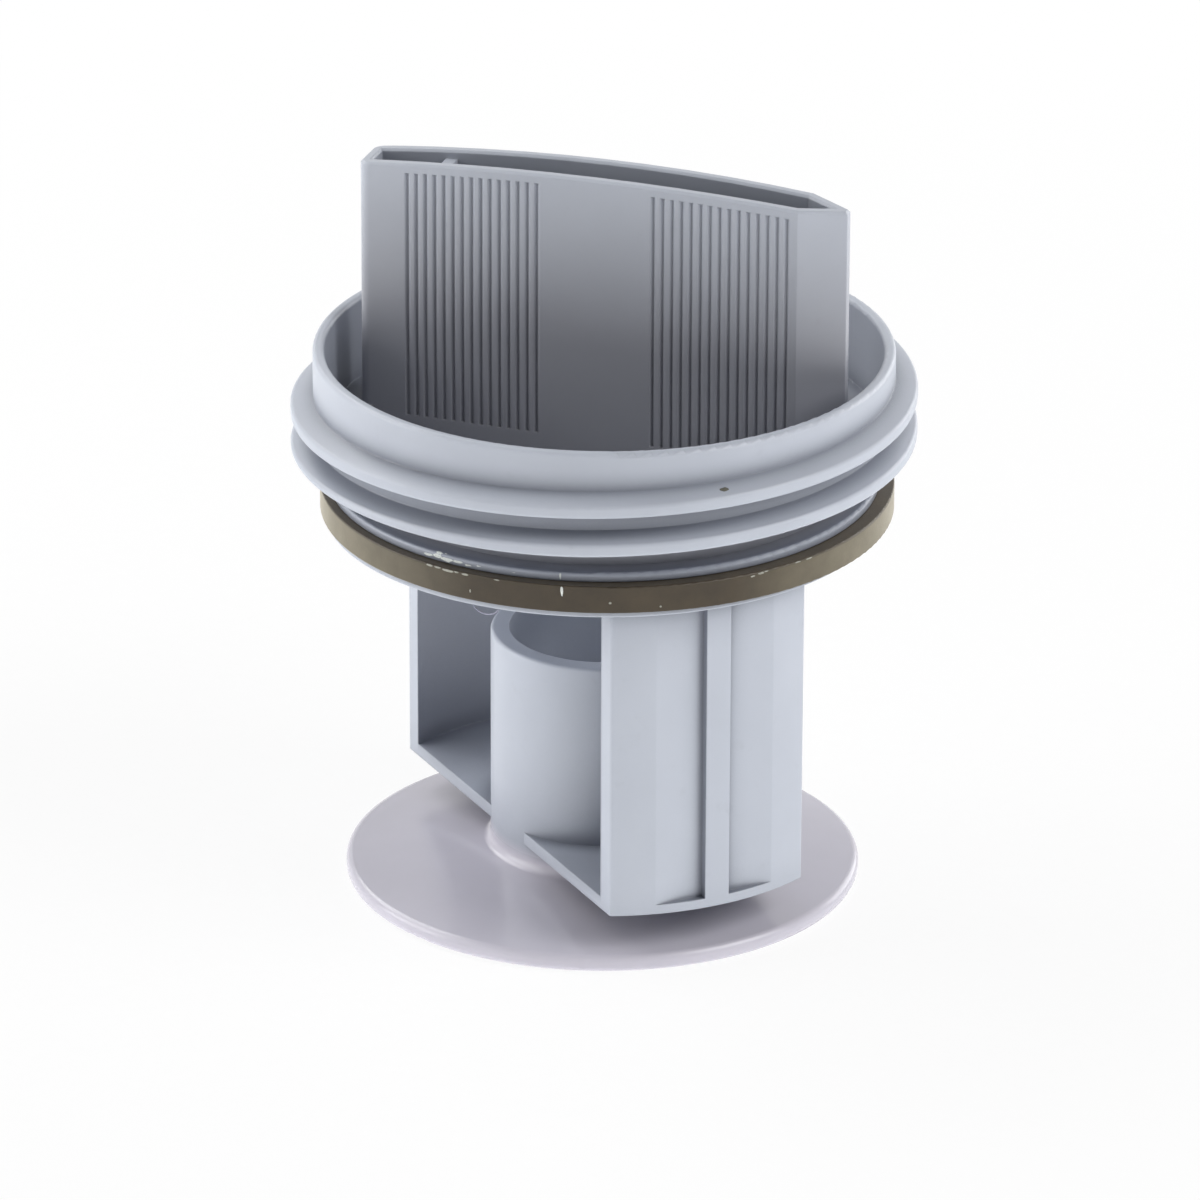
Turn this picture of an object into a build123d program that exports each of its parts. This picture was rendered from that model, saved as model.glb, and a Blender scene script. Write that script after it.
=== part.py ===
"""Screw-in drain pump filter: a one-piece moulded body and its flat seal ring.

Millimetres. Z runs along the screw axis, and z = 0 is the rest plane under the disc.
"""

import os
from math import ceil, cos, radians, sin, sqrt

from build123d import *

# Disc at the pump end: a shallow cone shell on a flat land.
disc_r = 26.6
disc_edge_t = 1.7
disc_land = 1.2
disc_edge_round = 0.7
cone_rise = 1.9

# Flow tube through the middle, open at both ends.
tube_r = 11.6
tube_wall = 1.9
tube_top = 27.1
tube_lip_round = 0.4
foot_round = 0.8

# Lint cage: two curved panels on floors that grow out of the tube.
cage_r = 26.05
cage_half_w = 10.95
cage_angle = -63.4
cage_corner_round = 0.4
panel_wall = 2.0
panel_flat_depth = 0.85
panel_rib_w = 2.7
panel_lip_h = 1.0
floor_level = 6.1
floor_t = 1.3

# Closed plate and flange that carry the cap and the seal.
plate_level = 40.03
plate_t = 2.0
flange_r = 28.6
flange_t = 0.72
flange_round = 0.15
neck_r = 26.6

# Seal ring, and the bead that keeps it on the neck. The ring rests on the flange and hangs
# over to the +X side, until its bore all but touches the neck opposite.
seal_h = 2.85
seal_section = 2.4
seal_edge_round = 0.15
seal_fit = 0.05
seal_play = 0.12
seal_loose = 0.4
bead_out = 1.6
bead_t = 0.9
bead_top_round = 0.35

# Waist between the bead and the cup's shoulder.
waist_in = 0.65
waist_wall = 1.65
waist_h = 3.23

# Threaded cup.
core_r = 29.7
rim_wall = 1.2
rim_round = 0.45
rim_h = 10.2
cup_draft = 0.2
shoulder_t = 1.6

# Right-hand thread with one start. Angles are counted from +X, and front is -90 degrees.
thread_pitch = 4.1
thread_depth = 2.3
thread_crest_w = 1.2
thread_low_flank = 0.5
thread_top_flank = 0.8
thread_front_lift = 0.08
thread_start_deg = -285.0
thread_end_deg = 435.0
thread_crest_round = 0.4
thread_fade_deg = 30.0
thread_root_bite = 0.3

# Hollow grip across the cup: blunt at one end, an arrow point at the other. Both ends
# are sunk into the waist's wall.
grip_angle = -18.4
grip_above_rim = 19.0
grip_crown = 1.3
grip_wall = 1.2
grip_mid_half_t = 3.3
grip_back_bite = 1.3
grip_back_half_t = 2.65
grip_nose = 4.5
grip_bend_half_t = 2.9
grip_tip_bite = 1.5
grip_tip_half_t = 0.5
grip_corner_round = 1.2
grip_root_cover = 0.2
grip_top_bevel = 0.25
grip_web_from_back = 8.6
grip_web_t = 1.2
grip_web_drop = 0.9

# Finger grooves in both faces of the grip.
groove_count = 15
groove_first = 6.2
groove_last_gap = 1.1
groove_w = 0.55
groove_depth = 0.3
groove_top_gap = 1.0
groove_end_above_shoulder = 1.1

# Levels and radii that follow from the sizes above.
bore_r = tube_r - tube_wall
cone_top = disc_edge_t + cone_rise
floor_top = floor_level + floor_t
panel_in_r = cage_r - panel_wall
panel_flat = cage_r - panel_flat_depth
flange_top = plate_level + flange_t
bead_level = flange_top + seal_h + seal_play
bead_r = neck_r + bead_out
shoulder_level = bead_level + bead_t + waist_h
rim_level = shoulder_level + rim_h
step_level = shoulder_level + shoulder_t
well_floor = plate_level + plate_t
waist_r = neck_r - waist_in
well_r = waist_r - waist_wall
crest_r = core_r + thread_depth
grip_back = well_r + grip_back_bite
grip_tip = well_r + grip_tip_bite
grip_bend = grip_tip - grip_nose
grip_web_at = grip_web_from_back - grip_back
groove_pitch = (grip_bend - groove_first - groove_last_gap) / (groove_count - 1)
grip_top = rim_level + grip_above_rim
crown_r = (max(grip_tip, grip_back) ** 2 + grip_crown**2) / (2 * grip_crown)


def turned(points):
    """Solid of revolution about Z from (radius, height) points."""
    return revolve(make_face(Plane.XZ * Polyline(*points, close=True)), Axis.Z)


def column(sketch, low, high):
    """Upright prism between two levels."""
    return extrude(Pos(0, 0, low) * sketch, high - low)


def ring_edges(shape, radius, level):
    """Circular edges of this radius at this level."""
    return [
        e
        for e in shape.edges().filter_by(GeomType.CIRCLE)
        if abs(e.radius - radius) < 0.01 and abs(e.center().Z - level) < 0.01
    ]


def disc():
    """Cone shell with a rounded edge, hollow underneath."""
    shell = turned(
        [
            (bore_r, cone_top * 0.5),
            (disc_r - disc_land, 0),
            (disc_r, 0),
            (disc_r, disc_edge_t),
            (tube_r, cone_top),
            (bore_r, cone_top),
        ]
    )
    rim = ring_edges(shell, disc_r, 0) + ring_edges(shell, disc_r, disc_edge_t)
    return fillet(rim, disc_edge_round)


def tube():
    """Plain tube from inside the cone to its free top edge."""
    low = cone_top * 0.6
    wall = column(Circle(tube_r) - Circle(bore_r), low, tube_top)
    return fillet(ring_edges(wall, tube_r, tube_top), tube_lip_round)


def foot():
    """Disc and tube joined, with the soft corner between them."""
    joined = disc() + tube()
    return fillet(ring_edges(joined, tube_r, cone_top), foot_round)


def cage():
    """Two panels and their floors, laid along +X and turned into place."""
    strip = Rectangle(2 * cage_r + 1, 2 * cage_half_w)
    outline = strip & Circle(cage_r)
    outline = fillet(outline.vertices(), cage_corner_round)
    panels = column(outline - Circle(panel_in_r), floor_level, plate_level + plate_t / 2)
    floors = column(outline - Circle((tube_r + bore_r) / 2), floor_level, floor_top)
    body = panels + floors
    flat_low = floor_level + panel_lip_h
    flat_high = plate_level
    rib_gap = (cage_half_w - panel_rib_w / 2) + 1
    for side in (-1, 1):
        for half in (-1, 1):
            cutter = Pos(
                side * (panel_flat + panel_wall),
                half * (panel_rib_w / 2 + rib_gap / 2),
                (flat_low + flat_high) / 2,
            ) * Box(2 * panel_wall, rib_gap, flat_high - flat_low)
            body -= cutter
    return Rot(0, 0, cage_angle) * body


def cap():
    """Plate, flange, neck with its bead, waist, shoulder and cup, turned in one."""
    cup = turned(
        [
            (0, plate_level),
            (flange_r, plate_level),
            (flange_r, flange_top),
            (neck_r, flange_top),
            (neck_r, bead_level),
            (bead_r, bead_level),
            (bead_r, bead_level + bead_t),
            (waist_r, bead_level + bead_t),
            (waist_r, shoulder_level),
            (core_r, shoulder_level),
            (core_r, rim_level),
            (core_r - rim_wall, rim_level),
            (core_r - rim_wall - cup_draft, step_level),
            (well_r, step_level),
            (well_r, well_floor),
            (0, well_floor),
        ]
    )
    lip = ring_edges(cup, core_r, rim_level) + ring_edges(cup, core_r - rim_wall, rim_level)
    cup = fillet(lip, rim_round)
    cup = fillet(ring_edges(cup, bead_r, bead_level + bead_t), bead_top_round)
    flange = ring_edges(cup, flange_r, plate_level) + ring_edges(cup, flange_r, flange_top)
    return fillet(flange, flange_round)


def thread_lead(angle):
    """Level of the crest's lower edge at an angle."""
    return shoulder_level + thread_front_lift + thread_pitch * (angle + 90) / 360


def thread():
    """Helical ridge, swept in quarter turns from its first angle to its last."""
    pieces = ceil((thread_end_deg - thread_start_deg) / 90)
    span = (thread_end_deg - thread_start_deg) / pieces
    path = Helix(pitch=thread_pitch, height=thread_pitch * span / 360, radius=core_r)
    root = -thread_root_bite
    outline = Polyline(
        (root, -thread_low_flank),
        (0, -thread_low_flank),
        (thread_depth, 0),
        (thread_depth, thread_crest_w),
        (0, thread_crest_w + thread_top_flank),
        (root, thread_crest_w + thread_top_flank),
        close=True,
    )
    section = make_face(outline)
    section = fillet(section.vertices().sort_by(Axis.X)[-2:], thread_crest_round)
    start = Plane(origin=path @ 0, x_dir=(1, 0, 0), z_dir=-(path % 0))
    piece = sweep(start * section, path=path, is_frenet=True)
    angles = [thread_start_deg + span * n for n in range(pieces)]
    return [Pos(0, 0, thread_lead(a)) * Rot(0, 0, a) * piece for a in angles]


def below_shoulder():
    """The part of the ridge under the shoulder, which the real thread doesn't have."""
    band = Circle(crest_r + 1) - Circle(core_r - 2 * thread_root_bite)
    return column(band, shoulder_level - 1.5 * thread_pitch, shoulder_level)


def beyond_fade():
    """What the ridge's end loses: the room outside a circle that runs in to the core."""
    end = radians(thread_end_deg)
    start = radians(thread_end_deg - thread_fade_deg)
    shift = thread_depth / (1 - cos(end - start))
    kept = Pos(shift * cos(start), shift * sin(start)) * Circle(crest_r - shift)
    reach = 2 * crest_r
    past = end + radians(10)
    sector = make_face(
        Polyline(
            (0, 0),
            (reach * cos(start), reach * sin(start)),
            (reach * cos(past), reach * sin(past)),
            close=True,
        )
    )
    low = thread_lead(thread_end_deg - thread_fade_deg) - 2 * thread_low_flank
    high = thread_lead(thread_end_deg) + thread_pitch
    return column((sector & Circle(crest_r + 1)) - kept - Circle(core_r), low, high)


def grip_outline():
    """Plan of the grip along +X: bowed faces, a blunt end and an arrow point."""
    upper = ThreePointArc(
        (-grip_back, grip_back_half_t), (0, grip_mid_half_t), (grip_bend, grip_bend_half_t)
    )
    nose = Polyline(
        (grip_bend, grip_bend_half_t),
        (grip_tip, grip_tip_half_t),
        (grip_tip, -grip_tip_half_t),
        (grip_bend, -grip_bend_half_t),
    )
    lower = ThreePointArc(
        (grip_bend, -grip_bend_half_t), (0, -grip_mid_half_t), (-grip_back, -grip_back_half_t)
    )
    back = Line((-grip_back, -grip_back_half_t), (-grip_back, grip_back_half_t))
    plan = make_face([upper, *nose.edges(), lower, back])
    blunt = plan.vertices().sort_by(Axis.X)[:2]
    return fillet(blunt, grip_corner_round)


def crown_level(along):
    """Height of the grip's top edge at a distance from the axis."""
    return grip_top - crown_r + sqrt(crown_r**2 - along**2)


def face_half_t(along):
    """Half thickness of the grip at a distance from the axis, on its bowed faces."""
    ends = ((-grip_back, grip_back_half_t), (grip_bend, grip_bend_half_t))
    (x0, y0), (x1, y1) = ends
    ym = grip_mid_half_t
    a = (y1 - ym - x1 * (y0 - ym) / x0) / (x1**2 - x1 * x0)
    b = (y0 - ym - a * x0**2) / x0
    return ym + b * along + a * along**2


def groove(along, side):
    """One upright V groove, as the prism that is cut away."""
    half_t = face_half_t(along)
    proud = 0.2
    deep = half_t - groove_depth
    flare = groove_w / 2 * (1 + proud / groove_depth)
    v_cut = make_face(
        Polyline(
            (along, side * deep),
            (along - flare, side * (half_t + proud)),
            (along + flare, side * (half_t + proud)),
            close=True,
        )
    )
    low = shoulder_level + groove_end_above_shoulder
    return column(v_cut, low, crown_level(along) - groove_top_gap)


def grip():
    """Crowned hollow blade with its finger grooves and inner web."""
    low = plate_level + plate_t / 2
    plan = grip_outline()
    hollow = offset(plan, -grip_wall, kind=Kind.INTERSECTION)
    blade = column(plan, low, grip_top)
    crown = Pos(0, 0, grip_top - crown_r) * Rot(90, 0, 0) * Cylinder(crown_r, 4 * grip_mid_half_t)
    blade &= crown
    blade -= column(hollow, well_floor, grip_top + 1)
    blade = chamfer(blade.faces().sort_by(Axis.Z)[-1].edges(), grip_top_bevel)
    web_top = crown_level(grip_web_at) - grip_web_drop
    slot = Pos(grip_web_at, 0) * Rectangle(grip_web_t, 2 * grip_mid_half_t) & plan
    blade += column(slot, well_floor, web_top)
    cuts = [
        groove(way * (groove_first + groove_pitch * n), side)
        for way in (-1, 1)
        for side in (-1, 1)
        for n in range(groove_count)
    ]
    blade -= cuts
    root_len = waist_r - grip_root_cover - grip_back + grip_corner_round
    root = Pos(-grip_back + grip_corner_round - root_len / 2, 0) * Rectangle(
        root_len, 2 * grip_back_half_t
    )
    blade += column(root, low, step_level)
    return Rot(0, 0, grip_angle) * blade


def filter_body():
    """The whole moulding."""
    body = cap() + thread()
    body -= below_shoulder()
    body -= beyond_fade()
    body += grip()
    body += foot() + cage()
    return body


def seal_ring():
    """Flat ring that rests on the flange, over to one side by the play it has."""
    inner = neck_r + seal_loose
    outer = inner + seal_section
    ring = column(Circle(outer) - Circle(inner), 0, seal_h)
    ring = fillet(ring_edges(ring, outer, 0) + ring_edges(ring, outer, seal_h), seal_edge_round)
    return Pos(seal_loose - seal_fit, 0, flange_top + seal_fit) * ring


os.makedirs("parts", exist_ok=True)
export_step(filter_body(), "parts/filter_body.step")
export_step(seal_ring(), "parts/seal_ring.step")
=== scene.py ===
# %% [markdown]
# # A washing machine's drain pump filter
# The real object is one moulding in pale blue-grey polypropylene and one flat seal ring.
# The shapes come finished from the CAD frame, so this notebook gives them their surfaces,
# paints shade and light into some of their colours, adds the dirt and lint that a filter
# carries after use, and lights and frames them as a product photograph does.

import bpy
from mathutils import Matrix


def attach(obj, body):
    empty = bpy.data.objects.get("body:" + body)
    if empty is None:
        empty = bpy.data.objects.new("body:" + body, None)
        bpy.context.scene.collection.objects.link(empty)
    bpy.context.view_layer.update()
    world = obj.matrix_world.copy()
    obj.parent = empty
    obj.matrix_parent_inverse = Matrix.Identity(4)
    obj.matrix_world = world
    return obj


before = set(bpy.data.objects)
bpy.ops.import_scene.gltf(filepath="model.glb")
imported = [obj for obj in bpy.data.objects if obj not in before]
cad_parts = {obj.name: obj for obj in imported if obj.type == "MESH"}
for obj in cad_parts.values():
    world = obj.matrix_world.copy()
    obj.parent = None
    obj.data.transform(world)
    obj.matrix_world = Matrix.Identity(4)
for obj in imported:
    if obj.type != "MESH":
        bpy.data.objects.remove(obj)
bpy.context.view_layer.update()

import bpy
import bmesh
import math
import random
from mathutils import Matrix, Vector

print("nodes:", sorted(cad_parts))

# %% [markdown]
# ## Millimetres and colours
# Sizes on the object are in millimetres and Blender works in metres, so one constant
# turns one into the other. Colours are written as the hex values a painter would pick on
# screen. Shaders need linear light, so one function turns each hex value into that.

# %% Helpers for size and colour
MM = 0.001


def linear(hex_value):
    """An sRGB hex colour as linear RGBA."""
    channels = [int(hex_value[i:i + 2], 16) / 255 for i in (1, 3, 5)]
    lit = [c / 12.92 if c <= 0.04045 else ((c + 0.055) / 1.055) ** 2.4 for c in channels]
    return (*lit, 1.0)


print("grey polypropylene in linear light:", [round(c, 3) for c in linear("#b2b7c1")])

# %% [markdown]
# ## One way to add a node
# A material is a small graph. One function adds a node, sets its values and links its
# inputs, so each material below reads from top to bottom like a recipe.

# %% Helper for nodes
def add(tree, kind, settings=None, values=None, links=None):
    """Add a node: settings are its properties, values its sockets, links its inputs."""
    node = tree.nodes.new(kind)
    for name, value in (settings or {}).items():
        setattr(node, name, value)
    for name, value in (values or {}).items():
        node.inputs[name].default_value = value
    for name, source in (links or {}).items():
        tree.links.new(source, node.inputs[name])
    return node


def new_material(name):
    """An empty material and its tree, with the output already in place."""
    material = bpy.data.materials.new(name)
    material.use_nodes = True
    tree = material.node_tree
    tree.nodes.clear()
    return material, tree, add(tree, "ShaderNodeOutputMaterial")


# %% [markdown]
# ## Tones and masks
# Real surfaces are never one flat colour. A noise that runs between two close tones gives
# the clouds of a moulding, and a mask from 0 to 1 lays a second colour where dirt sits.
# Four helpers cover this: a tone from noise, a blend by a mask, a mask that fades over a
# stretch in millimetres, and the place where two masks meet.

# %% Helpers for tones and masks
def tones(tree, source, dark, light):
    """A colour that runs from dark to light over the middle of a noise."""
    node = add(tree, "ShaderNodeValToRGB", links={"Fac": source})
    for element, position, colour in zip(node.color_ramp.elements, (0.3, 0.7), (dark, light)):
        element.position = position
        element.color = linear(colour)
    return node.outputs["Color"]


def blend(tree, mask, first, second):
    """Blend two colours, each a socket or a constant, by a mask from 0 to 1."""
    node = add(tree, "ShaderNodeMix", settings={"data_type": "RGBA"}, links={"Factor": mask})
    for name, source in (("A", first), ("B", second)):
        socket = next(i for i in node.inputs if i.name == name and i.type == "RGBA")
        if isinstance(source, tuple):
            socket.default_value = source
        else:
            tree.links.new(source, socket)
    return next(o for o in node.outputs if o.type == "RGBA")


def fade(tree, length, start_mm, end_mm, most=1.0):
    """A mask that goes from 0 at the start to its most at the end."""
    return add(
        tree, "ShaderNodeMapRange",
        values={"From Min": start_mm * MM, "From Max": end_mm * MM, "To Min": 0.0, "To Max": most},
        links={"Value": length},
    ).outputs["Result"]


def both(tree, first, second):
    """The product of two masks, which is 1 only where both are."""
    return add(
        tree, "ShaderNodeMath", settings={"operation": "MULTIPLY"}, links={0: first, 1: second},
    ).outputs["Value"]


# %% [markdown]
# ## Zones of the body
# The body is a single mesh, but its disc, cage, cup and thread look different. It was
# turned about one screw axis, so a height and a distance from that axis tell where on the
# body a point lies. Masks made from the two move with the object, unlike painted marks on
# the screen, and they need no second material and no seam.

# %% Zones
def body_zones(tree):
    """The place, height and masks for the parts of the moulding, all in object space."""
    place = add(tree, "ShaderNodeTexCoord").outputs["Object"]
    height = add(tree, "ShaderNodeSeparateXYZ", links={"Vector": place}).outputs["Z"]
    off_axis = add(
        tree, "ShaderNodeVectorMath", settings={"operation": "MULTIPLY"},
        values={1: (1.0, 1.0, 0.0)}, links={0: place},
    ).outputs["Vector"]
    radius = add(
        tree, "ShaderNodeVectorMath", settings={"operation": "LENGTH"}, links={0: off_axis},
    ).outputs["Value"]
    inner_faces = both(tree, fade(tree, radius, 14, 18), fade(tree, radius, 24.3, 24.1))
    return {
        "place": place,
        "height": height,
        "disc": fade(tree, height, 6.0, 4.4),
        "cage": both(tree, inner_faces, fade(tree, height, 6.5, 8)),
        "cup": both(tree, fade(tree, radius, 27.4, 26.4), fade(tree, height, 41.4, 41.6)),
        "thread": both(tree, fade(tree, radius, 28, 29), fade(tree, height, 47.2, 47.8)),
    }


# %% [markdown]
# ## Clean polypropylene
# The melt leaves faint clouds about 9 mm wide, one per cent apart in tone, and the disc is
# a shade pinker. Hands leave a thin grey film in patches of 3 mm. Both are noises, with
# their scale worked out from those sizes.

# %% Clean and handled plastic
def handled_plastic(tree, place):
    """The colours of the body and of the disc before the painted shade is laid on them."""
    clouds = add(
        tree, "ShaderNodeTexNoise",
        values={"Scale": 1 / (9 * MM), "Detail": 3.0, "Roughness": 0.5},
        links={"Vector": place},
    ).outputs["Fac"]
    patches = add(
        tree, "ShaderNodeTexNoise",
        values={"Scale": 1 / (3 * MM), "Detail": 6.0, "Roughness": 0.6},
        links={"Vector": place},
    ).outputs["Fac"]
    film = add(
        tree, "ShaderNodeMapRange",
        values={"From Min": 0.62, "From Max": 0.8, "To Min": 0.0, "To Max": 0.25},
        links={"Value": patches},
    ).outputs["Result"]
    body = blend(tree, film, tones(tree, clouds, "#b0b5bf", "#b4b9c3"), linear("#9a9ca4"))
    return body, tones(tree, clouds, "#bebbc5", "#c2bfc9")


# %% [markdown]
# ## Painted shade in the recesses
# The colour is darkened in the recesses as painted shade. The Ambient Occlusion node finds
# them: it says how much of the sky is open within a distance. A wide one of 14 mm lays the
# painted shade, weaker in the cup and on the thread. A narrow one of 2.5 mm draws a fine
# line of painted shade where thread and bead meet the walls. It is heaviest on the
# thread's top flank, above 51 mm.

# %% Painted shade in the recesses
def open_sky(tree, reach_mm):
    """1 on open surfaces, towards 0 in recesses that are narrower than the reach."""
    return add(
        tree, "ShaderNodeAmbientOcclusion", settings={"samples": 8},
        values={"Distance": reach_mm * MM},
    ).outputs["AO"]


def paint_recess_shade(tree, zones, clean):
    """Paint the wide shade of the recesses and the fine shade line of the corners over a colour.
    """
    cup_and_thread_zone = add(
        tree, "ShaderNodeMath", settings={"operation": "MAXIMUM"},
        links={0: zones["cup"], 1: zones["thread"]},
    ).outputs["Value"]
    recess_shade_most = add(
        tree, "ShaderNodeMapRange", values={"To Min": 0.78, "To Max": 0.3}, links={"Value": cup_and_thread_zone},
    ).outputs["Result"]
    recess_shade = add(
        tree, "ShaderNodeMapRange", values={"From Min": 0.88, "From Max": 0.28, "To Min": 0.0},
        links={"Value": open_sky(tree, 14), "To Max": recess_shade_most},
    ).outputs["Result"]
    # painted shade: the colour darkens towards #6a6e7a in recesses that the wide occlusion finds
    recess_shaded = blend(tree, recess_shade, clean, linear("#6a6e7a"))

    corner_shade_by_height = add(
        tree, "ShaderNodeMapRange",
        values={"From Min": 50.8 * MM, "From Max": 52.2 * MM, "To Min": 0.5, "To Max": 0.9},
        links={"Value": zones["height"]},
    ).outputs["Result"]
    corner_shade_most = add(
        tree, "ShaderNodeMapRange", values={"To Max": 0.0},
        links={"Value": zones["cup"], "To Min": corner_shade_by_height},
    ).outputs["Result"]
    corner_shade = add(
        tree, "ShaderNodeMapRange", values={"From Min": 0.95, "From Max": 0.55, "To Min": 0.0},
        links={"Value": open_sky(tree, 2.5), "To Max": corner_shade_most},
    ).outputs["Result"]
    # painted shade: a fine dark line towards #5f636f in concave corners, from the narrow occlusion
    return blend(tree, corner_shade, recess_shaded, linear("#5f636f"))


# %% [markdown]
# ## Painted shade in cup and cage
# The inside of the cup is painted darker towards the bottom, up to the top of the grip, as
# painted shade. The inner faces of the cage's panels are painted darker, up to the plate
# over them at 40 mm, as painted shade.

# %% Painted shade in cup and cage
def paint_cup_and_cage_shade(tree, zones, recess_shaded):
    """Paint shade on the inside of the cup and of the cage by their height."""
    cup_shade = both(tree, zones["cup"], fade(tree, zones["height"], 79, 61, 0.47))
    lint_and_cage_shade = both(tree, zones["cage"], fade(tree, zones["height"], 40.1, 39.9, 0.45))
    # painted shade: the cup darkens towards #746f72 near its bottom
    cup_shaded = blend(tree, cup_shade, recess_shaded, linear("#746f72"))
    # painted shade: the inner faces of the cage panels darken towards #6c6f7c below the plate
    return blend(tree, lint_and_cage_shade, cup_shaded, linear("#6c6f7c"))


# %% [markdown]
# ## Moulded polypropylene
# The steel mould is polished on the disc and lightly brushed elsewhere, so the skin is
# satin and the disc mirrors the tube softly. The brushing is a grain of 0.35 mm, drawn
# coarser than the real 0.05 mm so that it shows. Corners of a moulding are never sharp, so
# the Bevel node eases them by 0.2 mm. Polypropylene has an IOR of 1.49 and lets a little
# light in, which softens its shadows, so the shader gets a touch of subsurface scattering.

# %% Polypropylene
def moulded_polypropylene():
    """Satin moulded plastic, polished and clean on the disc, with a handling film and painted
    shade above it.
    """
    material, tree, output = new_material("moulded_polypropylene")
    zones = body_zones(tree)
    clean, disc_colour = handled_plastic(tree, zones["place"])
    # the clean colour takes painted shade in the recesses, the cup and the cage
    shaded_colour = paint_cup_and_cage_shade(tree, zones, paint_recess_shade(tree, zones, clean))
    satin = add(
        tree, "ShaderNodeMapRange", values={"To Min": 0.38, "To Max": 0.2},
        links={"Value": zones["disc"]},
    )
    grain = add(
        tree, "ShaderNodeTexNoise",
        values={"Scale": 1 / (0.35 * MM), "Detail": 2.0, "Roughness": 0.6},
        links={"Vector": zones["place"]},
    )
    eased = add(tree, "ShaderNodeBevel", settings={"samples": 6}, values={"Radius": 0.2 * MM})
    bump = add(
        tree, "ShaderNodeBump", values={"Strength": 0.12, "Distance": 0.02 * MM},
        links={"Height": grain.outputs["Fac"], "Normal": eased.outputs["Normal"]},
    )
    plastic = add(
        tree, "ShaderNodeBsdfPrincipled",
        values={
            "IOR": 1.49,
            "Subsurface Weight": 0.12,
            "Subsurface Radius": (1.0, 1.0, 1.1),
            "Subsurface Scale": 0.6 * MM,
        },
        links={
            "Base Color": blend(tree, zones["disc"], shaded_colour, disc_colour),
            "Roughness": satin.outputs["Result"],
            "Normal": bump.outputs["Normal"],
        },
    )
    tree.links.new(plastic.outputs["BSDF"], output.inputs["Surface"])
    return material


polypropylene = moulded_polypropylene()
print(polypropylene.name, "has", len(polypropylene.node_tree.nodes), "nodes")

# %% [markdown]
# ## Moulded rubber
# The seal is a black-brown rubber. On the flanks of its outer wall, from 13 mm off the middle
# outwards, its colour is painted lighter and olive as painted light. The top face, above
# 43.5 mm, keeps the dark tone. Rubber is matt and a little mottled, and its fine grain breaks
# up the highlight. Dust on it catches the light that grazes its sides, which the sheen
# repeats.

# %% Rubber
def moulded_rubber():
    """Matt mottled rubber, painted lighter on its two flanks as painted light."""
    material, tree, output = new_material("moulded_rubber")
    place = add(tree, "ShaderNodeTexCoord").outputs["Object"]
    parts = add(tree, "ShaderNodeSeparateXYZ", links={"Vector": place})
    aside = add(
        tree, "ShaderNodeMath", settings={"operation": "ABSOLUTE"}, links={0: parts.outputs["X"]},
    ).outputs["Value"]
    painted_flank_light = both(tree, fade(tree, aside, 13, 28), fade(tree, parts.outputs["Z"], 43.6, 43.35))
    mottle = add(
        tree, "ShaderNodeTexNoise",
        values={"Scale": 1 / (4 * MM), "Detail": 6.0, "Roughness": 0.65},
        links={"Vector": place},
    ).outputs["Fac"]
    # painted light: the flanks of the outer wall take the lighter olive tones
    colour = blend(
        tree, painted_flank_light,
        tones(tree, mottle, "#332a1c", "#423725"), tones(tree, mottle, "#69624f", "#7b7461"),
    )
    grain = add(
        tree, "ShaderNodeTexNoise",
        values={"Scale": 1 / (0.4 * MM), "Detail": 4.0, "Roughness": 0.7},
        links={"Vector": place},
    )
    bump = add(
        tree, "ShaderNodeBump", values={"Strength": 0.3, "Distance": 0.04 * MM},
        links={"Height": grain.outputs["Fac"]},
    )
    rubber = add(
        tree, "ShaderNodeBsdfPrincipled",
        values={
            "IOR": 1.52,
            "Roughness": 0.5,
            "Sheen Weight": 1.0,
            "Sheen Roughness": 0.3,
            "Sheen Tint": linear("#d6cfc0"),
        },
        links={"Base Color": colour, "Normal": bump.outputs["Normal"]},
    )
    tree.links.new(rubber.outputs["BSDF"], output.inputs["Surface"])
    return material


rubber = moulded_rubber()
print(rubber.name, "has", len(rubber.node_tree.nodes), "nodes")

# %% [markdown]
# ## Dress the two solids
# Each solid already has its material slots. Giving every slot the new material dresses the
# whole mesh and leaves its shape alone.

# %% Dress
for node, material in (("filter_body", polypropylene), ("seal_ring", rubber)):
    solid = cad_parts[node]
    for slot in solid.material_slots:
        slot.material = material
    print(node, "wears", material.name, "on", len(solid.data.polygons), "faces")

# %% [markdown]
# ## Finishes of the dirt
# The photographed filter has been in a machine, and its crumbs, flash, rust and lint are
# all matt broken surfaces. They differ in tone, in the size of their grain and in
# roughness, so one recipe makes the four.

# %% Crumbly finish
def crumbly(name, dark, light, grain_mm, roughness):
    """A matt broken surface: two tones in noise of the grain's size, and bumps to match."""
    material, tree, output = new_material(name)
    grain = add(
        tree, "ShaderNodeTexNoise",
        values={"Scale": 1 / (grain_mm * MM), "Detail": 4.0, "Roughness": 0.6},
        links={"Vector": add(tree, "ShaderNodeTexCoord").outputs["Object"]},
    ).outputs["Fac"]
    bump = add(
        tree, "ShaderNodeBump", values={"Strength": 0.4, "Distance": 0.02 * MM},
        links={"Height": grain},
    )
    surface = add(
        tree, "ShaderNodeBsdfPrincipled",
        values={"IOR": 1.5, "Roughness": roughness},
        links={"Base Color": tones(tree, grain, dark, light), "Normal": bump.outputs["Normal"]},
    )
    tree.links.new(surface.outputs["BSDF"], output.inputs["Surface"])
    return material


# %% [markdown]
# ## Flakes on a round wall
# Dirt lies on the walls of rings, so a place is given by its angle about the screw axis,
# the wall's radius and its level. A flake is three ragged outlines joined into a closed
# mesh: one sunk into the wall, a broader one on it and a small crown. Closed meshes keep
# the model sound, and each piece rides with the body.

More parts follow.
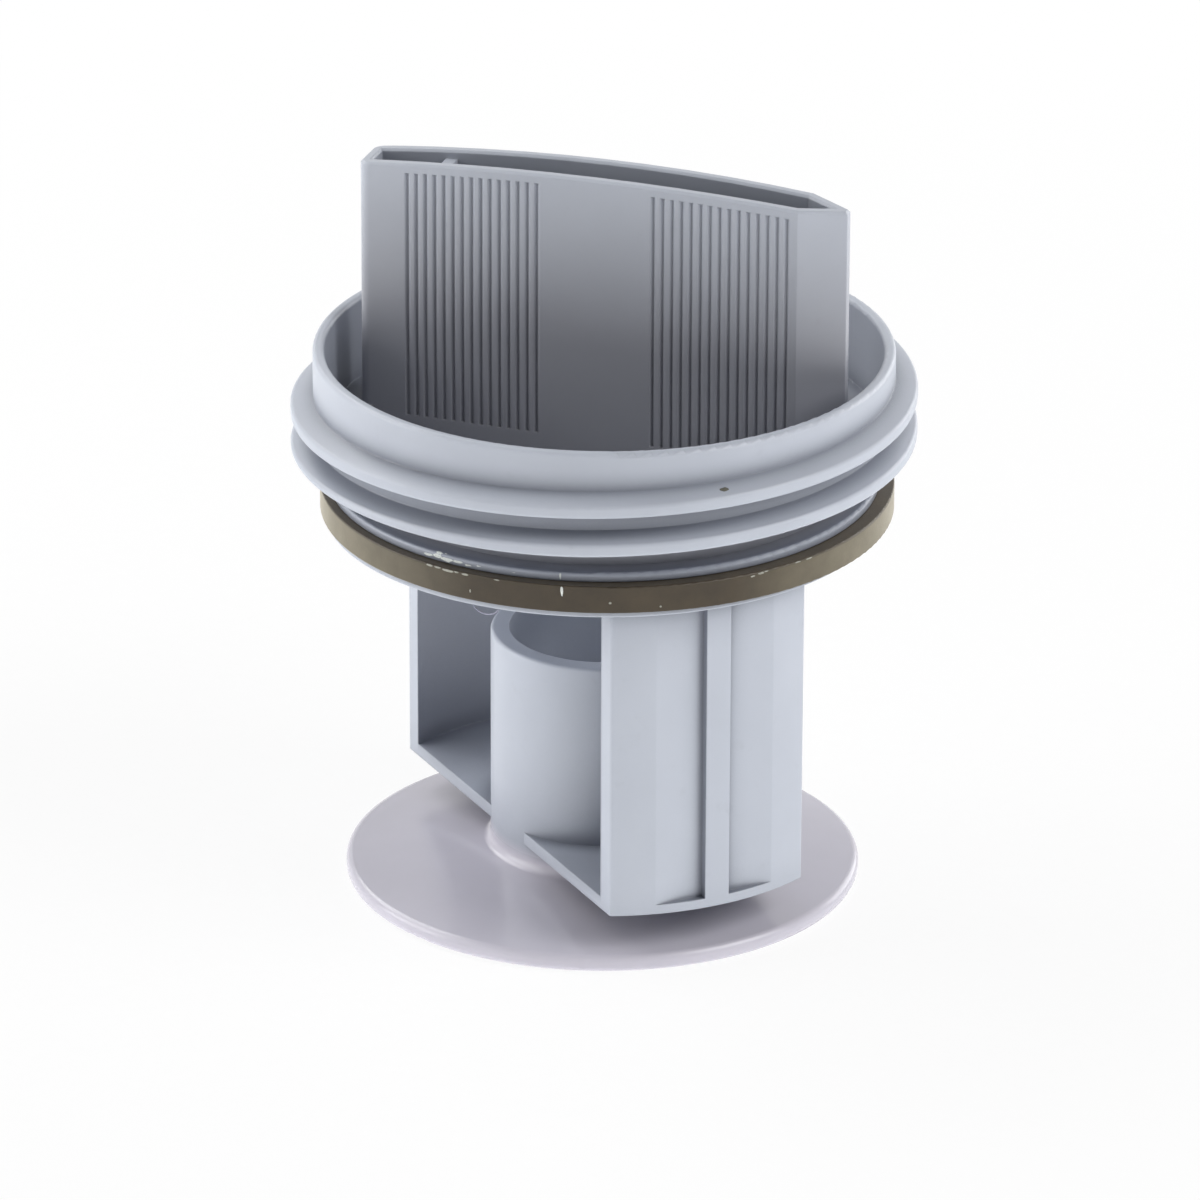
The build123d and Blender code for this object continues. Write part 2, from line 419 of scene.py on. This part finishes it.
# %% Helpers for flakes
def on_ring(angle_deg, radius_mm, level_mm, aside_mm=0.0):
    """A point on a cylinder about the screw axis, or about one that lies aside in X."""
    turn = math.radians(angle_deg)
    place = (aside_mm + radius_mm * math.cos(turn), radius_mm * math.sin(turn), level_mm)
    return Vector(place) * MM


def join_rings(bm, rings):
    """Close a mesh over rings of corners: walls between them and a cap at both ends."""
    for low_ring, high_ring in zip(rings, rings[1:]):
        for n in range(len(low_ring)):
            m = (n + 1) % len(low_ring)
            bm.faces.new((low_ring[n], low_ring[m], high_ring[m], high_ring[n]))
    bm.faces.new(list(reversed(rings[0])))
    bm.faces.new(rings[-1])


def add_flake(bm, place, outward, width_mm, height_mm, thick_mm, seed):
    """A ragged flake that faces outward: outlines are (share of size, share of thickness)."""
    chance = random.Random(seed)
    outward = outward.normalized()
    across = Vector((0, 0, 1)).cross(outward).normalized()
    upward = outward.cross(across)
    corners = 10
    outlines = ((0.8, -0.4), (1.0, 0.2), (0.55, 1.0))
    reach = [chance.uniform(0.7, 1.0) for _ in range(corners)]
    rings = []
    for size, lift in outlines:
        ring = []
        for n in range(corners):
            turn = 2 * math.pi * n / corners
            wide = across * (width_mm / 2 * size * reach[n] * math.cos(turn))
            tall = upward * (height_mm / 2 * size * reach[n] * math.sin(turn))
            ring.append(bm.verts.new(place + (wide + tall + outward * thick_mm * lift) * MM))
        rings.append(ring)
    join_rings(bm, rings)


def finish_piece(bm, name, material):
    """Turn the mesh into an object that rides with the body."""
    bmesh.ops.recalc_face_normals(bm, faces=bm.faces)
    mesh = bpy.data.meshes.new(name)
    bm.to_mesh(mesh)
    bm.free()
    piece = bpy.data.objects.new(name, mesh)
    bpy.context.collection.objects.link(piece)
    mesh.materials.append(material)
    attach(piece, "root")
    print(name, "has", len(mesh.polygons), "faces")
    return piece


# %% [markdown]
# ## Crumbs of dried detergent
# They sit along the upper edge of the seal, most at the left, with three single ones on
# its wall. The seal lies 0.35 mm to the right of the axis by the play it has, and so do
# they. Each is 0.06 mm thick.

# %% Crumbs
seal_wall, seal_aside = 29.4, 0.35
crumb_spots = [  # angle in degrees, level, width and height in mm
    (-127.2, 43.5, 0.9, 0.3), (-125.2, 43.5, 1.0, 0.26), (-122.8, 43.45, 1.5, 0.34),
    (-120.8, 43.5, 0.7, 0.22), (-118.8, 43.48, 1.0, 0.28), (-112.0, 43.52, 0.7, 0.18),
    (-60.3, 43.3, 0.6, 0.22), (-58.4, 43.42, 0.9, 0.3), (-57.2, 43.5, 0.6, 0.18),
    (-49.4, 43.52, 0.9, 0.16), (-46.4, 43.5, 1.0, 0.2), (-117.7, 41.8, 0.22, 0.4),
    (-89.4, 41.96, 0.35, 0.3), (-79.5, 41.4, 0.3, 0.25),
]
crumbs = bmesh.new()
for seed, (angle, level, wide, tall) in enumerate(crumb_spots):
    spot = on_ring(angle, seal_wall, level, seal_aside)
    add_flake(crumbs, spot, on_ring(angle, 1, 0), wide, tall, 0.06, seed)
finish_piece(
    crumbs, "detergent_crumbs", crumbly("dried_detergent", "#7c7b70", "#b0b0a5", 0.3, 0.7),
)

# %% [markdown]
# ## Moulding flash
# A pale whisker of plastic stands across the bead and, lower down, across the seal. The
# bead is frayed at its left, where flakes of it tilt up a little.

# %% Flash
bead_wall = 28.12
whisker_angle, whisker_seed = -98.8, 40
flash = bmesh.new()
for wall, aside, level, tall in ((bead_wall, 0.0, 44.15, 1.0), (seal_wall, seal_aside, 43.1, 1.3)):
    spot = on_ring(whisker_angle, wall, level, aside)
    add_flake(flash, spot, on_ring(whisker_angle, 1, 0), 0.32, tall, 0.1, whisker_seed)

frayed_spots = [  # angle in degrees, level, width and height in mm
    (-128.4, 44.2, 1.6, 0.6), (-126.0, 44.35, 1.5, 0.8), (-123.8, 44.25, 2.0, 0.9),
    (-121.2, 44.25, 1.6, 0.7), (-118.8, 44.1, 1.2, 0.5), (-116.2, 44.2, 1.3, 0.3),
    (-108.6, 44.1, 0.9, 0.25),
]
first_frayed_seed = 20
for seed, (angle, level, wide, tall) in enumerate(frayed_spots, first_frayed_seed):
    spot = on_ring(angle, bead_wall, level)
    add_flake(flash, spot, on_ring(angle, 1, 0.5), wide, tall, 0.07, seed)
shavings = finish_piece(
    flash, "moulding_flash", crumbly("shaved_flash", "#c6cac6", "#e2e6e0", 0.25, 0.5),
)

# %% [markdown]
# ## Rust speck
# One speck clings to the top flank of the thread, right of the middle, so it faces up more
# than out.

# %% Rust
speck_angle = -67.2
rust = bmesh.new()
add_flake(
    rust, on_ring(speck_angle, 30.9, 53.79), on_ring(speck_angle, 0.35, 0.9), 1.6, 1.0, 0.12, 7,
)
finish_piece(rust, "rust_speck", crumbly("dried_rust", "#4a4a44", "#6d6a5c", 0.2, 0.8))

# %% [markdown]
# ## Lint fibre
# A cotton fibre 0.14 mm thick hangs in a loop from the flange's edge, 28.5 mm off the axis.
# It is a thin tube along a line of points, tapered at both ends, because a round section
# catches the light as a real fibre does.

# %% Lint
def add_fibre(bm, points, radius_mm):
    """A six-sided thread along a smooth line of points, tapered at both ends."""
    turns = [2 * math.pi * k / 6 for k in range(6)]
    last = len(points) - 1
    rings = []
    for n, point in enumerate(points):
        ahead = points[min(n + 1, last)] - points[max(n - 1, 0)]
        first = ahead.cross(Vector((0, 1, 0.3))).normalized()
        second = ahead.cross(first).normalized()
        thin = radius_mm * MM * (0.35 if n in (0, last) else 1.0)
        rings.append([
            bm.verts.new(point + thin * (math.cos(turn) * first + math.sin(turn) * second))
            for turn in turns
        ])
    join_rings(bm, rings)


flange_edge = 28.5
loop = [  # X and Z in mm
    (-13.1, 40.1), (-12.85, 39.72), (-12.45, 39.42), (-11.95, 39.27),
    (-11.4, 39.3), (-10.9, 39.5), (-10.55, 39.85), (-10.4, 40.1),
]
lint_and_cage_shade = bmesh.new()
add_fibre(lint_and_cage_shade, [Vector((x, -math.sqrt(flange_edge**2 - x**2), z)) * MM for x, z in loop], 0.07)
finish_piece(lint_and_cage_shade, "lint_fibre", crumbly("cotton_lint", "#8c8ca0", "#b4b4c4", 0.15, 0.9))

# %% [markdown]
# ## Floor
# The photograph stands the filter on a white table that is lit from below, as product
# tables are: the undersides and the front of the disc are bright. So the floor is white
# paper with a lamp under it for the light that reaches the object, and the camera and
# the reflections see it lifted most of the way to pure white, which leaves a faint
# contact shadow to stand on. Away from the object it becomes pure white, as a paper sweep
# does that runs up behind the scene.

# %% Light table
WHITE = (1, 1, 1, 1)


def light_table():
    """White paper that glows for the object and is nearly white to the camera."""
    material, tree, output = new_material("white_paper")
    place = add(tree, "ShaderNodeTexCoord").outputs["Object"]
    fibres = add(
        tree, "ShaderNodeTexNoise", values={"Scale": 1 / (2 * MM), "Detail": 4.0},
        links={"Vector": place},
    ).outputs["Fac"]
    paper = add(
        tree, "ShaderNodeBsdfPrincipled",
        values={"Roughness": 0.9, "Specular IOR Level": 0.1},
        links={"Base Color": tones(tree, fibres, "#f4f4f4", "#f8f8f8")},
    ).outputs["BSDF"]
    white = add(tree, "ShaderNodeEmission", values={"Color": WHITE, "Strength": 1.0})
    away = add(
        tree, "ShaderNodeVectorMath", settings={"operation": "LENGTH"}, links={0: place},
    ).outputs["Value"]
    lifted = add(
        tree, "ShaderNodeMapRange",
        values={"From Min": 70 * MM, "From Max": 260 * MM, "To Min": 0.88, "To Max": 1.0},
        links={"Value": away},
    ).outputs["Result"]
    seen = add(
        tree, "ShaderNodeMixShader", links={0: lifted, 1: paper, 2: white.outputs["Emission"]},
    )
    lamp_below = add(tree, "ShaderNodeEmission", values={"Color": WHITE, "Strength": 0.77})
    glowing = add(
        tree, "ShaderNodeAddShader", links={0: paper, 1: lamp_below.outputs["Emission"]},
    )
    for_object = add(tree, "ShaderNodeLightPath").outputs["Is Diffuse Ray"]
    table = add(
        tree, "ShaderNodeMixShader",
        links={0: for_object, 1: seen.outputs["Shader"], 2: glowing.outputs["Shader"]},
    )
    tree.links.new(table.outputs["Shader"], output.inputs["Surface"])
    return material


# %% Floor
half, level = 2.0, -0.02 * MM
corners = [(-half, -half, level), (half, -half, level), (half, half, level), (-half, half, level)]
sheet = bpy.data.meshes.new("floor")
sheet.from_pydata(corners, [], [(0, 1, 2, 3)])
sheet.materials.append(light_table())
floor = bpy.data.objects.new("floor", sheet)
bpy.context.collection.objects.link(floor)
print("floor is", 2 * half, "m wide and lies at", round(level / MM, 3), "mm")

# %% [markdown]
# ## World
# The camera, the reflections and anything seen through show a pure white studio. The light
# that reaches the object from all around is much weaker, because the lamps do that work.

# %% World
world = bpy.data.worlds.new("light_tent")
bpy.context.scene.world = world
world.use_nodes = True
sky = world.node_tree
sky.nodes.clear()
rays = add(sky, "ShaderNodeLightPath")
white = add(sky, "ShaderNodeBackground", values={"Color": WHITE, "Strength": 1.0})
cloth = add(sky, "ShaderNodeBackground", values={"Color": WHITE, "Strength": 0.12})
shown = add(
    sky, "ShaderNodeMath", settings={"operation": "MAXIMUM"},
    links={0: rays.outputs["Is Camera Ray"], 1: rays.outputs["Is Glossy Ray"]},
)
shown_through = add(
    sky, "ShaderNodeMath", settings={"operation": "MAXIMUM"},
    links={0: shown.outputs["Value"], 1: rays.outputs["Is Transmission Ray"]},
)
studio = add(
    sky, "ShaderNodeMixShader",
    links={
        0: shown_through.outputs["Value"],
        1: cloth.outputs["Background"],
        2: white.outputs["Background"],
    },
)
add(sky, "ShaderNodeOutputWorld", links={"Surface": studio.outputs["Shader"]})
print(world.name, "has", len(sky.nodes), "nodes")

# %% [markdown]
# ## Lamps
# A light tent surrounds the object: big soft sources at both sides and behind, little
# from the front, nothing from straight above. That is why the sides of the rings glow and
# their fronts are greyer. Six square area lamps repeat it. Their powers are low because
# they hang only half a metre away.

# %% Lamps
def softbox(name, place, aim, width, watts):
    """A square area lamp at a place, turned to its aim."""
    data = bpy.data.lights.new(name, "AREA")
    data.shape = "SQUARE"
    data.size = width
    data.energy = watts
    lamp = bpy.data.objects.new(name, data)
    bpy.context.collection.objects.link(lamp)
    lamp.location = place
    lamp.rotation_euler = (Vector(aim) - Vector(place)).to_track_quat("-Z", "Y").to_euler()


middle = (0, 0, 40 * MM)
panel_width = 0.4
tent = {  # place in metres, power in watts
    "left_high": ((-0.5, 0.0, 0.42), 0.82),
    "left_low": ((-0.62, 0.0, 0.12), 1.85),
    "right_high": ((0.46, -0.19, 0.44), 2.8),
    "back_left_high": ((-0.34, 0.34, 0.46), 1.75),
    "back_right_low": ((0.45, 0.45, 0.14), 1.3),
    "front_left_low": ((-0.45, -0.45, 0.12), 0.24),
}
for name, (place, watts) in tent.items():
    softbox(name + "_softbox", place, middle, panel_width, watts)
print(len(tent), "softboxes give", round(sum(watts for _, watts in tent.values()), 2), "W")

# %% [markdown]
# ## Camera
# The photograph was taken from about a metre away and 23 degrees above the table, with a
# long lens. A camera fitted to the rims of the real object gives these numbers. Its focal
# length came out in pixels, and the picture's 1200 pixels on a 36 mm sensor turn it into
# millimetres.

# %% Camera
def aim_camera(distance, lift_deg, target, roll_deg, lens_mm, sensor_mm):
    """A camera on the viewer's side, looking at the target from above."""
    lift = math.radians(lift_deg)
    forward = Vector((0, math.cos(lift), -math.sin(lift)))
    right = Vector((1, 0, 0))
    up = right.cross(forward)
    roll = math.radians(roll_deg)
    side = math.cos(roll) * right + math.sin(roll) * up
    top = math.cos(roll) * up - math.sin(roll) * right
    data = bpy.data.cameras.new("camera")
    data.lens = lens_mm
    data.sensor_width = sensor_mm
    data.clip_start = 10 * MM
    camera = bpy.data.objects.new("camera", data)
    bpy.context.collection.objects.link(camera)
    turn = Matrix((side, top, -forward)).transposed().to_4x4()
    camera.matrix_world = Matrix.Translation(Vector(target) - distance * forward) @ turn
    return camera


focal_pixels, picture_pixels, sensor_mm = 9710, 1200, 36
camera = aim_camera(
    distance=999 * MM, lift_deg=22.818, target=(-0.341 * MM, 0, 29.916 * MM), roll_deg=0.216,
    lens_mm=focal_pixels / picture_pixels * sensor_mm, sensor_mm=sensor_mm,
)
bpy.context.scene.camera = camera
bpy.context.scene.view_settings.view_transform = "Standard"
print("camera at", [round(c, 3) for c in camera.matrix_world.translation], "m, lens",
      round(camera.data.lens), "mm")
